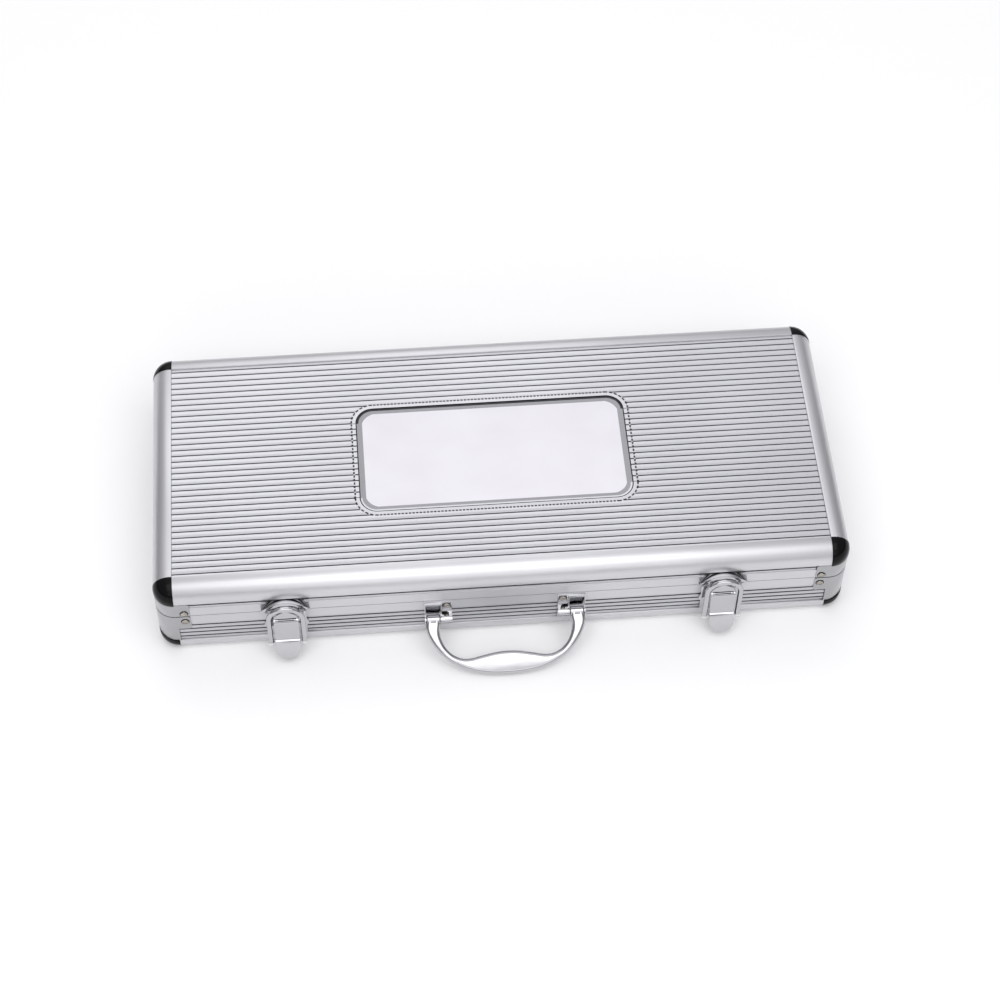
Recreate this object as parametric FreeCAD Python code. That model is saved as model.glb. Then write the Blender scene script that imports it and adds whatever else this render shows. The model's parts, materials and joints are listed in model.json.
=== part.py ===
"""Poker chip case: an aluminium-framed box with a hinged lid, two draw latches and a drop handle.

Frame: millimetres, origin at the centre of the underside, +X along the case, -Y towards the handle
and latches, +Z up. The case lies flat and closed, its handle resting on the same surface.
Every wall is laid out for the front side in (u, z), where u is the depth in from the outer face,
and turned round to the other sides. What stands out of the wall uses -u as its height.
"""
import FreeCAD, Part
import math
import os

V = FreeCAD.Vector
X_AXIS = V(1, 0, 0)
Y_AXIS = V(0, 1, 0)
Z_AXIS = V(0, 0, 1)
fuzz = 1e-6                 # lengths and directions closer than this are the same

# Overall sizes
case_length = 480.0
case_depth = 208.0
case_height = 70.0
split_height = 41.0         # where the lid parts from the base
split_gap = 0.4

# Panels and edge extrusions
panel_thickness = 3.0
skin = 1.2                  # wall of an edge extrusion outside the panel
shelf = 1.2                 # wall of an edge extrusion inside the panel
slot_play = 0.05            # each side of a panel in its slot
trim_width = 14.0           # extrusion seen from above, and the plan radius of the case's corners
lid_trim_leg = 14.5         # extrusion seen from the side
base_trim_leg = 11.5
lid_edge_radius = 12.5
base_edge_radius = 8.0

# Rim extrusions at the split
rim_height = 9.0
rim_inset = 0.6             # rims stand back from the edge extrusions
rim_depth = 6.0
rim_slot = 4.0
tongue_height = 2.2         # lid's tongue drops inside the base's rim
tongue_width = 1.3
tongue_at = 3.4
tongue_clearance = 0.4

# Ribs
top_rib_pitch = 5.0
side_rib_pitch = 4.5
groove_width = 0.9
groove_depth = 0.5
lid_groove_width = 0.7

# Recess in the lid and its blank plate
recess_length = 187.0
recess_width = 85.0
recess_radius = 14.5
recess_depth = 1.6
plate_thickness = 0.8
plate_clearance = 0.5

# Corner fittings
blade = 1.0                 # a corner cap's tongue lies inside the extrusion's inner leg
blade_length = 12.0
blade_play = 0.05
corner_plate_thickness = 0.6
corner_plate_play = 0.2
arm_reach = 10.0            # past the corner's curve
lower_arm_reach = 1.0
base_arm_height = 14.6
arm_rivet_reach = 6.0
arm_corner_radius = 2.0

# Rivets
rivet_head_radius = 2.2
rivet_head_height = 0.7
rivet_radius = 1.2
rivet_play = 0.05
rivet_tail = 0.6            # a shank reaches this far past the rims' inner faces
lid_rivet_height = 44.5
base_rivet_height = 35.0

# Pressed fittings on the walls
plate_gauge = 1.0
pin_play = 0.06             # radial, running fit

# Latches
latch_spacing = 302.0
latch_plate_width = 28.0
latch_plate_ear = 1.4       # a pointed ear on each side
latch_plate_ear_rise = 4.0
latch_plate_low = 12.0
latch_plate_high = 39.5
lever_axle_out = 5.3
lever_axle_height = 37.4
lever_axle_radius = 1.1
lever_knuckle_radius = 3.6
lever_curl = 41.0           # degrees that the face curls on round its knuckle
lever_width = 17.0
lever_flange = 1.4
lever_gauge = 1.1
ear_gap = 0.3
ear_gauge = 1.3
ear_radius = 2.1
ear_web_rise = 0.2          # the web stays below the open lever's curled edge
loop_pivot_out = 8.65
loop_pivot_height = 14.5
loop_pivot_radius = 1.2
loop_boss_radius = 2.6
lever_bend_out = 10.2
lever_bend_height = 20.0
tab_tip_out = 16.7
tab_tip_height = 6.7
loop_lever_gap = 1.3
loop_bar_width = 3.45
loop_bar_gauge = 2.7
loop_top = 57.5
keeper_width = 33.0
keeper_low = 41.5
keeper_high = 54.8
keeper_boss_centre = 40.0
keeper_boss_out = 7.0
keeper_hood_out = 4.0
keeper_hood_radius = 24.0
keeper_hood_width = 2.4
keeper_rivet_spacing = 27.4
latch_rivet_heights = (22.0, 29.5)

# Handle
handle_wall_gap = 0.6       # behind the legs' knuckles
handle_axis_height = 25.0
handle_reach = 40.6         # axis to the outer edge
handle_thickness = 7.0
handle_floor_gap = 0.1
leg_inner = 45.1            # half spacings across the handle
leg_outer = 54.6
handle_pin_radius = 1.5
leg_straight = 4.0          # the legs run straight this far either side of the axis
handle_widest = (56.6, 11.5)    # half spacing and reach
grip_width = 14.8
groove_at = 29.0            # finger grooves, half spacing
# The bail's edges between a leg and the middle: half spacings, and how far each point lies back
# from the edge's reach at the middle
outer_edge_points = ((50.6, 17.6), (39.0, 9.1), (groove_at, 4.7), (groove_at / 2, 1.1))
inner_edge_points = ((44.5, 12.8), (39.6, 1.8), (33.0, -3.6), (groove_at, -3.9), (groove_at / 2, -1.3))
bracket_inner = 36.7
bracket_outer = 55.8
bracket_low = 12.0
bracket_high = 40.0
bracket_wall = 0.8
bracket_hood_out = 2.6
leg_clearance = 0.4
barrel_radius = 3.6
bracket_rivet_heights = (15.5, 36.0)

# Hinge along the back
hinge_end = 40.0            # from the case's end to the hinge
knuckle_length = 20.0       # nearest whole pitch
knuckle_gap = 0.3
knuckle_radius = 2.4
hinge_pin_radius = 1.2
hinge_axis_out = 2.2
hinge_leaf_height = 9.5
hinge_clearance = 0.4
hinge_rivet_count = 6
hinge_rivet_offset = 6.2

# Trays and linings
chip_radius_room = 20.4
row_end_margin = 4.6        # from a tray's end to its chip rows
tray_wall = 1.5
tray_top = 33.0
tray_clearance = 0.2
tray_gap = 0.5
centre_tray_length = 112.0
card_well_length = 91.0
card_well_width = 66.0
card_well_depth = 21.0
dice_well_length = 86.0
dice_well_width = 17.5
dice_well_depth = 15.0
lining_thickness = 6.0
sheet_thickness = 1.0
lining_play = 0.3

# Sizes that follow
slot_width = panel_thickness + 2 * slot_play
panel_face = skin + slot_play
shelf_level = skin + slot_width + shelf
half_length = case_length / 2
half_depth = case_depth / 2
base_rim_top = split_height - split_gap / 2
lid_rim_low = split_height + split_gap / 2
base_rim_low = base_rim_top - rim_height
lid_rim_top = lid_rim_low + rim_height
fitting_back = rim_inset
fitting_face = rim_inset - plate_gauge
rivet_end = rim_depth + rivet_tail
lever_half = lever_width / 2
loop_inner_radius = lever_half + loop_lever_gap
loop_outer_radius = loop_inner_radius + loop_bar_width
handle_axis_out = handle_wall_gap - fitting_face + handle_thickness / 2
hinge_length = case_length - 2 * hinge_end
knuckle_count = 2 * round(hinge_length / knuckle_length / 2)
wall_depth = max(rivet_end, shelf_level + blade)
tray_floor = shelf_level + slot_play
tray_half_depth = half_depth - wall_depth - tray_clearance
chip_rows = int(tray_half_depth / (chip_radius_room + tray_wall))
row_pitch = 2 * tray_half_depth / chip_rows
row_centre = tray_floor + tray_wall + chip_radius_room

SIDES = {
    "front": (0, V(0, -half_depth, 0)),
    "back": (180, V(0, half_depth, 0)),
    "left": (-90, V(-half_length, 0, 0)),
    "right": (90, V(half_length, 0, 0)),
}
CORNERS = {
    "front_right": (0, 1, -1),
    "back_right": (90, 1, 1),
    "back_left": (180, -1, 1),
    "front_left": (270, -1, -1),
}


def block(x, y, z):
    """A box from three (low, high) pairs."""
    return Part.makeBox(x[1] - x[0], y[1] - y[0], z[1] - z[0], V(x[0], y[0], z[0]))


def rod(x, out, height, radius):
    """A cylinder along X from x[0] to x[1], standing out from the front wall's face."""
    return Part.makeCylinder(radius, x[1] - x[0], V(x[0], -out, height), X_AXIS)


def outline(start, *steps):
    """A closed face across X: a step is a (y, z) point, or a (through, end) pair for an arc."""
    edges = []
    here = V(0, *start)
    for step in steps:
        if isinstance(step[0], tuple):
            through, end = (V(0, *point) for point in step)
            edges.append(Part.Arc(here, through, end).toShape())
        else:
            end = V(0, *step)
            edges.append(Part.makeLine(here, end))
        here = end
    if here.distanceToPoint(V(0, *start)) > fuzz:
        edges.append(Part.makeLine(here, V(0, *start)))
    return Part.Face(Part.Wire(edges))


def edges_along(solid, axis):
    """The solid's straight edges that run along an axis."""
    return [edge for edge in solid.Edges
            if abs(edge.tangentAt(edge.FirstParameter).dot(axis)) > 1 - fuzz]


def run(face, length):
    """The face extruded along X, centred."""
    solid = face.extrude(V(length, 0, 0))
    solid.translate(V(-length / 2, 0, 0))
    return solid


def on_side(shape, side):
    turn, place = SIDES[side]
    placed = shape.copy()
    placed.rotate(V(), Z_AXIS, turn)
    placed.translate(place)
    return placed


def on_corner(shape, corner):
    turn, across, along = CORNERS[corner]
    placed = shape.copy()
    placed.rotate(V(), Z_AXIS, turn)
    placed.translate(V(across * (half_length - trim_width), along * (half_depth - trim_width), 0))
    return placed


def plan_prism(inset, low, high):
    """The case's plan, stepped in and with its corners rounded."""
    solid = block((inset - half_length, half_length - inset), (inset - half_depth, half_depth - inset),
                  (low, high))
    return solid.makeFillet(trim_width - inset, edges_along(solid, Z_AXIS))


def run_length(side, inset):
    return (case_length if side in ("front", "back") else case_depth) - 2 * inset


def mirrored(shape):
    return shape.mirror(V(), X_AXIS)


# Rivets ---------------------------------------------------------------------------------------
def rivet(x, height, face):
    """A round-headed rivet through the front wall, its head on a surface at depth face."""
    dome = rivet_head_radius ** 2 / (2 * rivet_head_height) + rivet_head_height / 2
    head = Part.makeSphere(dome, V(x, face - rivet_head_height + dome, height))
    head = head.common(block((x - dome, x + dome), (face - rivet_head_height, face),
                             (height - dome, height + dome)))
    shank = Part.makeCylinder(rivet_radius, rivet_end - face, V(x, face, height), Y_AXIS)
    return head.fuse(shank).removeSplitter()


def rivet_hole(x, height):
    return Part.makeCylinder(rivet_radius + rivet_play, rivet_end + 2 * plate_gauge,
                             V(x, -plate_gauge, height), Y_AXIS)


def arm_rivet_spots(side):
    reach = run_length(side, trim_width + arm_rivet_reach) / 2
    return (-reach, reach)


def hinge_rivet_spots():
    pitch = hinge_length / hinge_rivet_count
    return [pitch * (i + 0.5) - hinge_length / 2 for i in range(hinge_rivet_count)]


def latch_spots():
    return (-latch_spacing / 2, latch_spacing / 2)


def bracket_rivet_spot():
    return (bracket_inner + leg_inner - leg_clearance - bracket_wall) / 2


def lid_rivet_places():
    """(side, x, height, face that the head sits on) for every rivet in the lid."""
    places = [(s, x, lid_rivet_height, 0.0) for s in SIDES for x in arm_rivet_spots(s)]
    for latch in latch_spots():
        for side in (-1, 1):
            x = latch + side * keeper_rivet_spacing / 2
            places.append(("front", x, lid_rivet_height, fitting_face))
    for x in hinge_rivet_spots():
        places.append(("back", x, split_height + hinge_rivet_offset, fitting_face))
    return places


def base_rivet_places():
    places = [(s, x, base_rivet_height, 0.0) for s in SIDES for x in arm_rivet_spots(s)]
    for latch in latch_spots():
        places += [("front", latch, height, fitting_face) for height in latch_rivet_heights]
    for height in bracket_rivet_heights:
        places += [("front", side * bracket_rivet_spot(), height, fitting_face) for side in (-1, 1)]
    for x in hinge_rivet_spots():
        places.append(("back", x, split_height - hinge_rivet_offset, fitting_face))
    return places


def rivets(places):
    return Part.makeCompound([on_side(rivet(x, height, face), side)
                              for side, x, height, face in places])


def drilled(shape, places, sides):
    holes = [on_side(rivet_hole(x, height), side) for side, x, height, face in places if side in sides]
    return shape.cut(holes)


# Edge extrusions ------------------------------------------------------------------------------
def trim_section(leg, radius, extra=0.0):
    """(u, v) section of an edge extrusion, v being the depth in from the top or bottom face.

    It has a slot for each of the two panels. extra thickens its inner leg for a corner cap.
    """
    bulge = radius * (1 - math.sqrt(0.5))
    inner = skin + slot_width
    leg_face = shelf_level + extra
    steps = [
        (radius, 0.0), ((bulge, bulge), (0.0, radius)),
        (0.0, leg), (skin, leg), (skin, radius), (inner, radius), (inner, leg), (leg_face, leg),
        (leg_face, shelf_level),
        (trim_width, shelf_level), (trim_width, inner), (radius, inner), (radius, skin),
        (trim_width, skin),
    ]
    return outline((trim_width, 0.0), *steps)


def to_lid(shape):
    """Turn a section or solid that was laid out upwards from z = 0 over to hang from the lid's top."""
    flipped = shape.mirror(V(), Z_AXIS)
    flipped.translate(V(0, 0, case_height))
    return flipped


def trim(side, leg, radius):
    return run(trim_section(leg, radius), run_length(side, trim_width))


def corner_cap(leg, radius):
    """A quarter turn of the extrusion's section, with a tongue along each extrusion's inner leg."""
    section = trim_section(leg, radius, blade)
    section.translate(V(0, -trim_width, 0))
    cap = section.revolve(V(), Z_AXIS, 90)
    low = shelf_level + blade_play
    into_front = block((-blade_length, 0.0), (low - trim_width, shelf_level + blade - trim_width),
                       (low, leg - blade_play))
    into_side = into_front.mirror(V(), X_AXIS)
    into_side.rotate(V(), Z_AXIS, 90)
    return cap.fuse([into_front, into_side]).removeSplitter()


def lid_trim(side):
    return on_side(to_lid(trim(side, lid_trim_leg, lid_edge_radius)), side)


def base_trim(side):
    return on_side(trim(side, base_trim_leg, base_edge_radius), side)


# Rims at the split ----------------------------------------------------------------------------
def base_rim(side):
    step = base_rim_top - tongue_height - tongue_clearance
    rebate = tongue_at - tongue_clearance
    slot_top = base_rim_low + rim_slot
    inner = skin + slot_width
    section = outline(
        (rim_inset, base_rim_low), (rim_inset, base_rim_top), (rebate, base_rim_top), (rebate, step),
        (rim_depth, step), (rim_depth, base_rim_low), (inner, base_rim_low), (inner, slot_top),
        (skin, slot_top), (skin, base_rim_low))
    ends = rim_inset if side in ("front", "back") else rim_depth
    rim = on_side(run(section, run_length(side, ends)), side)
    rim = rim.common(plan_prism(rim_inset, base_rim_low, base_rim_top))
    return drilled(rim, base_rivet_places(), (side,))


def lid_rim(side):
    tongue_low = lid_rim_low - tongue_height
    slot_low = lid_rim_top - rim_slot
    inner = skin + slot_width
    section = outline(
        (rim_inset, lid_rim_low), (rim_inset, lid_rim_top), (skin, lid_rim_top), (skin, slot_low),
        (inner, slot_low), (inner, lid_rim_top), (rim_depth, lid_rim_top), (rim_depth, lid_rim_low),
        (tongue_at + tongue_width, lid_rim_low), (tongue_at + tongue_width, tongue_low),
        (tongue_at, tongue_low), (tongue_at, lid_rim_low))
    ends = rim_inset if side in ("front", "back") else rim_depth
    rim = on_side(run(section, run_length(side, ends)), side)
    rim = rim.common(plan_prism(rim_inset, tongue_low, lid_rim_top))
    return drilled(rim, lid_rivet_places(), (side,))


# Ribbed panels --------------------------------------------------------------------------------
def grooves(first, last, pitch):
    """Evenly pitched groove centres that fill a span, the same margin at both ends."""
    count = int((last - first) / pitch)
    margin = (last - first - (count - 1) * pitch) / 2
    return [first + margin + i * pitch for i in range(count)]


def side_panel(side, low, high, groove_heights, width):
    """A wall panel with V grooves along it."""
    back = panel_face + panel_thickness
    steps = []
    for height in sorted(groove_heights):
        steps += [(panel_face, height - width / 2), (panel_face + groove_depth, height),
                  (panel_face, height + width / 2)]
    section = outline((panel_face, low), *steps, (panel_face, high), (back, high), (back, low))
    ends = panel_face if side in ("front", "back") else rim_depth
    panel = on_side(run(section, run_length(side, ends)), side)
    return panel.common(plan_prism(panel_face, low, high))


def base_panel(side):
    low = base_edge_radius + slot_play
    high = base_rim_low + rim_slot - slot_play
    lines = grooves(base_trim_leg, base_rim_low, side_rib_pitch)
    return drilled(side_panel(side, low, high, lines, groove_width), base_rivet_places(), (side,))


def lid_panel(side):
    low = lid_rim_top - rim_slot + slot_play
    high = case_height - lid_edge_radius - slot_play
    middle = (lid_rim_top + case_height - lid_trim_leg) / 2
    panel = side_panel(side, low, high, [middle], lid_groove_width)
    return drilled(panel, lid_rivet_places(), (side,))


def rounded_slab(length, width, radius, low, high):
    solid = block((-length / 2, length / 2), (-width / 2, width / 2), (low, high))
    return solid.makeFillet(radius, edges_along(solid, Z_AXIS))


def lid_top_panel():
    """Ribbed sheet held in the lid trims' slots, with a pressed recess in its middle."""
    top = case_height - panel_face
    edge = half_depth - lid_edge_radius - slot_play
    seen = half_depth - trim_width
    steps = []
    for y in grooves(-seen, seen, top_rib_pitch):
        steps += [(y - groove_width / 2, top), (y, top - groove_depth), (y + groove_width / 2, top)]
    low = top - panel_thickness
    section = outline((-edge, low), (-edge, top), *steps, (edge, top), (edge, low))
    panel = run(section, case_length - 2 * (lid_edge_radius + slot_play))
    panel = panel.common(rounded_slab(case_length - 2 * (lid_edge_radius + slot_play), 2 * edge,
                                      trim_width - lid_edge_radius - slot_play, low, top))
    recess = rounded_slab(recess_length, recess_width, recess_radius, top - recess_depth, top + skin)
    return panel.cut(recess)


def name_plate():
    low = case_height - panel_face - recess_depth
    return rounded_slab(recess_length - 2 * plate_clearance, recess_width - 2 * plate_clearance,
                        recess_radius - plate_clearance, low, low + plate_thickness)


def base_bottom_panel():
    """Flat board whose rebated edges sit in the base trims' slots, flush with them underneath."""
    face = trim_width + slot_play
    edge = base_edge_radius + slot_play
    low = skin + slot_play
    high = low + panel_thickness
    board = block((face - half_length, half_length - face), (face - half_depth, half_depth - face),
                  (0.0, high))
    tongue = block((edge - half_length, half_length - edge), (face - half_depth, half_depth - face),
                   (low, high))
    tongue = tongue.fuse(block((face - half_length, half_length - face),
                               (edge - half_depth, half_depth - edge), (low, high)))
    return board.fuse(tongue).removeSplitter()


# Corner plates --------------------------------------------------------------------------------
def corner_shell(low, high):
    """Thin quarter cylinder round a corner, at the trims' outer face."""
    outer = Part.makeCylinder(trim_width, high - low, V(0, 0, low), Z_AXIS, 90)
    inner = Part.makeCylinder(trim_width - corner_plate_thickness, high - low, V(0, 0, low), Z_AXIS, 90)
    shell = outer.cut(inner)
    shell.rotate(V(), Z_AXIS, -90)
    return shell


def arm_pair(reach, low, high):
    """Flat arms that carry a corner shell on along both walls."""
    front = block((-reach, 0.0), (-trim_width, corner_plate_thickness - trim_width), (low, high))
    end_edges = [e for e in edges_along(front, Y_AXIS) if e.CenterOfMass.x < -reach / 2]
    front = front.makeFillet(min(arm_corner_radius, reach / 3), end_edges)
    side = front.mirror(V(), X_AXIS)
    side.rotate(V(), Z_AXIS, 90)
    return [front, side]


def lid_corner_plate(corner):
    low = lid_rim_low + corner_plate_play
    high = case_height - lid_trim_leg - corner_plate_play
    plate = corner_shell(low, high).fuse(arm_pair(arm_reach, low, high)).removeSplitter()
    return drilled(on_corner(plate, corner), lid_rivet_places(), SIDES)


def base_corner_plate(corner):
    low = base_trim_leg + corner_plate_play
    high = base_rim_top - corner_plate_play
    plate = corner_shell(low, high).fuse(arm_pair(arm_reach, high - base_arm_height, high))
    plate = plate.fuse(arm_pair(lower_arm_reach, low, high)).removeSplitter()
    return drilled(on_corner(plate, corner), base_rivet_places(), SIDES)


# Latches --------------------------------------------------------------------------------------
def at_latch(shape, x):
    return on_side(shape.translated(V(x, 0, 0)), "front")


def front_view(start, *steps):
    """A closed face in (x, z), seen from the front."""
    face = outline(start, *steps)
    face.rotate(V(), Z_AXIS, -90)
    return face


def latch_plate(x):
    """Riveted plate with two ears that carry the lever's axle."""
    half = latch_plate_width / 2
    middle = (latch_plate_low + latch_plate_high) / 2
    below, above = middle - latch_plate_ear_rise, middle + latch_plate_ear_rise
    wide = half + latch_plate_ear
    face = front_view((-half, latch_plate_low), (half, latch_plate_low), (half, below), (wide, middle),
                      (half, above), (half, latch_plate_high), (-half, latch_plate_high),
                      (-half, above), (-wide, middle), (-half, below))
    plate = face.extrude(V(0, plate_gauge, 0))
    plate.translate(V(0, fitting_face, 0))
    outer = lever_half - lever_flange - ear_gap
    for low, high in ((-outer, ear_gauge - outer), (outer - ear_gauge, outer)):
        ear = rod((low, high), lever_axle_out, lever_axle_height, ear_radius)
        web = block((low, high), (-lever_axle_out, fitting_face),
                    (lever_axle_height - ear_radius, lever_axle_height + ear_web_rise))
        plate = plate.fuse([ear, web])
    hole = rod((-lever_width, lever_width), lever_axle_out, lever_axle_height, lever_axle_radius)
    plate = plate.cut(hole).removeSplitter()
    return drilled(at_latch(plate, x), base_rivet_places(), ("front",))


def latch_axle(x):
    reach = lever_half + ear_gap
    return at_latch(rod((-reach, reach), lever_axle_out, lever_axle_height, lever_axle_radius), x)


def tab_corner():
    """Inner edge of the lever's tab at its tip, square across the sheet from the outer edge."""
    run_out = tab_tip_out - lever_bend_out
    drop = lever_bend_height - tab_tip_height
    length = math.hypot(run_out, drop)
    return (tab_tip_out - lever_gauge * drop / length, tab_tip_height - lever_gauge * run_out / length)


def latch_lever(x):
    """Folded channel: a face that flares out into a finger tab, and two flanges."""
    out, height, radius = lever_axle_out, lever_axle_height, lever_knuckle_radius
    tip_out, tip_height = tab_corner()
    slope = (tab_tip_out - lever_bend_out) / (lever_bend_height - tab_tip_height)
    inner_out = tip_out - (loop_pivot_height - tip_height) * slope
    boss = min(loop_boss_radius, inner_out - loop_pivot_out)
    side = outline(
        (radius - out, height), ((-out, height + radius), (-out - radius, height)),
        (-lever_bend_out, lever_bend_height), (-tab_tip_out, tab_tip_height),
        (-tip_out, tip_height), (-inner_out, loop_pivot_height),
        (-loop_pivot_out - boss, loop_pivot_height),
        ((-loop_pivot_out, loop_pivot_height - boss), (boss - loop_pivot_out, loop_pivot_height)))
    lever = run(side, lever_width)
    bend_out = lever_bend_out - lever_gauge
    curl = math.radians(lever_curl)
    across, up = math.cos(curl), math.sin(curl)
    inside = radius - lever_gauge
    clear = 2 * radius
    hollow = outline(
        (0.0, 0.0), (0.0, height + clear), (-out - clear * across, height + clear),
        (-out - clear * across, height + clear * up), (-out - inside * across, height + inside * up),
        ((-out - inside * math.cos(curl / 2), height + inside * math.sin(curl / 2)),
         (-out - inside, height)),
        (-bend_out, lever_bend_height), (-tip_out, tip_height), (-tip_out, 0.0))
    lever = lever.cut(run(hollow, lever_width - 2 * lever_flange))
    round_top = tip_height + lever_half
    front = front_view((-lever_half, round_top), ((0.0, tip_height), (lever_half, round_top)),
                       (lever_half, height + clear), (-lever_half, height + clear))
    prism = front.extrude(V(0, -2 * tab_tip_out, 0))
    lever = lever.common(prism)
    reach = (-lever_width, lever_width)
    lever = lever.cut([rod(reach, out, height, lever_axle_radius + pin_play),
                       rod(reach, loop_pivot_out, loop_pivot_height, loop_pivot_radius + pin_play)])
    return at_latch(lever, x)


def latch_loop(x):
    """Flat U-shaped loop with a stub inside each foot that turns in the lever's flange."""
    centre = loop_top - loop_outer_radius
    low = loop_pivot_height

    def arch(radius):
        return front_view((-radius, low), (-radius, centre), ((0.0, centre + radius), (radius, centre)),
                          (radius, low)).extrude(V(0, loop_bar_gauge, 0))

    loop = arch(loop_outer_radius).cut(arch(loop_inner_radius))
    loop.translate(V(0, -loop_pivot_out - loop_bar_gauge / 2, 0))
    stub_end = lever_half - lever_flange
    for side in (-1, 1):
        foot = sorted((side * loop_inner_radius, side * loop_outer_radius))
        stub = sorted((side * stub_end, side * loop_inner_radius))
        loop = loop.fuse([rod(foot, loop_pivot_out, low, loop_bar_gauge / 2),
                          rod(stub, loop_pivot_out, low, loop_pivot_radius)])
    return at_latch(loop.removeSplitter(), x)


def latch_keeper(x):
    """Lid plate with a raised hook boss below an arched hood."""
    half = keeper_width / 2
    hood_centre = keeper_high - keeper_hood_radius
    shoulder = hood_centre + math.sqrt(keeper_hood_radius ** 2 - half ** 2)
    face = front_view((-half, keeper_low), (half, keeper_low), (half, shoulder),
                      ((0.0, keeper_high), (-half, shoulder)))
    plate = face.extrude(V(0, plate_gauge, 0))
    plate.translate(V(0, fitting_face, 0))
    inner = keeper_hood_radius - keeper_hood_width
    inner_shoulder = hood_centre + math.sqrt(inner ** 2 - (half - keeper_hood_width) ** 2)
    hood = front_view((-half, shoulder), ((0.0, keeper_high), (half, shoulder)),
                      (half - keeper_hood_width, inner_shoulder),
                      ((0.0, hood_centre + inner), (keeper_hood_width - half, inner_shoulder)))
    hood = hood.extrude(V(0, keeper_hood_out + fitting_face, 0))
    hood.translate(V(0, -keeper_hood_out, 0))
    middle = keeper_boss_centre
    rise = math.sqrt(lever_half ** 2 - (keeper_low - middle) ** 2)
    boss = front_view((-rise, keeper_low), ((0.0, middle + lever_half), (rise, keeper_low)))
    boss = boss.extrude(V(0, keeper_boss_out + fitting_face, 0))
    boss.translate(V(0, -keeper_boss_out, 0))
    keeper = at_latch(plate.fuse([hood, boss]).removeSplitter(), x)
    return drilled(keeper, lid_rivet_places(), ("front",))


# Handle ---------------------------------------------------------------------------------------
def handle_tilt():
    """Angle below level at which the handle's outer edge rests on the ground, in degrees."""
    half = handle_thickness / 2
    drop = handle_axis_height - handle_floor_gap
    return math.degrees(math.asin(drop / math.hypot(handle_reach, half)) - math.atan2(half, handle_reach))


def spline(points):
    """Smooth edge through (x, reach) points, mirrored about the middle."""
    whole = points + [(-x, reach) for x, reach in reversed(points[:-1])]
    curve = Part.BSplineCurve()
    curve.interpolate([V(x, -reach, 0) for x, reach in whole])
    return curve.toShape()


def handle():
    """Flat bail, waisted at two finger grooves either side of the grip."""
    inner_reach = handle_reach - grip_width
    outer = spline([(leg_outer, leg_straight), handle_widest]
                   + [(x, handle_reach - back) for x, back in outer_edge_points]
                   + [(0.0, handle_reach)])
    inner = spline([(leg_inner, leg_straight)]
                   + [(x, inner_reach - back) for x, back in inner_edge_points]
                   + [(0.0, inner_reach)])
    legs = []
    for side in (1, -1):
        corners = [V(side * x, -reach, 0) for x, reach in (
            (leg_inner, leg_straight), (leg_inner, 0.0), (leg_outer, 0.0), (leg_outer, leg_straight))]
        legs += [Part.makeLine(a, b) for a, b in zip(corners, corners[1:])]
    wire = Part.Wire(Part.__sortEdges__([outer, inner] + legs))
    bail = Part.Face(wire).extrude(V(0, 0, handle_thickness))
    bail.translate(V(0, 0, -handle_thickness / 2))
    knuckles = [rod(sorted((s * leg_inner, s * leg_outer)), 0.0, 0.0, handle_thickness / 2)
                for s in (1, -1)]
    bail = bail.fuse(knuckles)
    bail = bail.cut(rod((-half_length, half_length), 0.0, 0.0, handle_pin_radius + pin_play))
    bail = bail.removeSplitter()
    bail.rotate(V(), X_AXIS, handle_tilt())
    bail.translate(V(0, -handle_axis_out, handle_axis_height))
    return on_side(bail, "front")


def handle_bracket(side):
    """Riveted plate with a barrel inside the handle's leg and a thin cheek outside it."""
    left_of_leg = leg_inner - leg_clearance
    right_of_leg = leg_outer + leg_clearance
    web = (-handle_axis_out, fitting_face)
    plate = block((bracket_inner, bracket_outer), (fitting_face, fitting_back),
                  (bracket_low, bracket_high))
    barrel = rod((bracket_inner, left_of_leg), handle_axis_out, handle_axis_height, barrel_radius)
    barrel_web = block((bracket_inner, left_of_leg), web,
                       (handle_axis_height - barrel_radius, handle_axis_height + barrel_radius))
    cheek = rod((right_of_leg, bracket_outer), handle_axis_out, handle_axis_height, barrel_radius)
    cheek_web = block((right_of_leg, bracket_outer), web,
                      (handle_axis_height - barrel_radius, handle_axis_height + barrel_radius))
    hood = (-bracket_hood_out, fitting_face)
    roof = block((left_of_leg - bracket_wall, bracket_outer), hood,
                 (bracket_high - bracket_wall, bracket_high))
    walls = [block((x, x + bracket_wall), hood, (handle_axis_height, bracket_high))
             for x in (left_of_leg - bracket_wall, right_of_leg)]
    bracket = plate.fuse([barrel, barrel_web, cheek, cheek_web, roof] + walls)
    bracket = bracket.cut(rod((0.0, half_length), handle_axis_out, handle_axis_height, handle_pin_radius))
    bracket = bracket.removeSplitter()
    if side < 0:
        bracket = mirrored(bracket)
    return drilled(on_side(bracket, "front"), base_rivet_places(), ("front",))


def handle_pin(side):
    pin = rod((bracket_inner + bracket_wall, bracket_outer), handle_axis_out, handle_axis_height,
              handle_pin_radius)
    return on_side(pin if side > 0 else mirrored(pin), "front")


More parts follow.
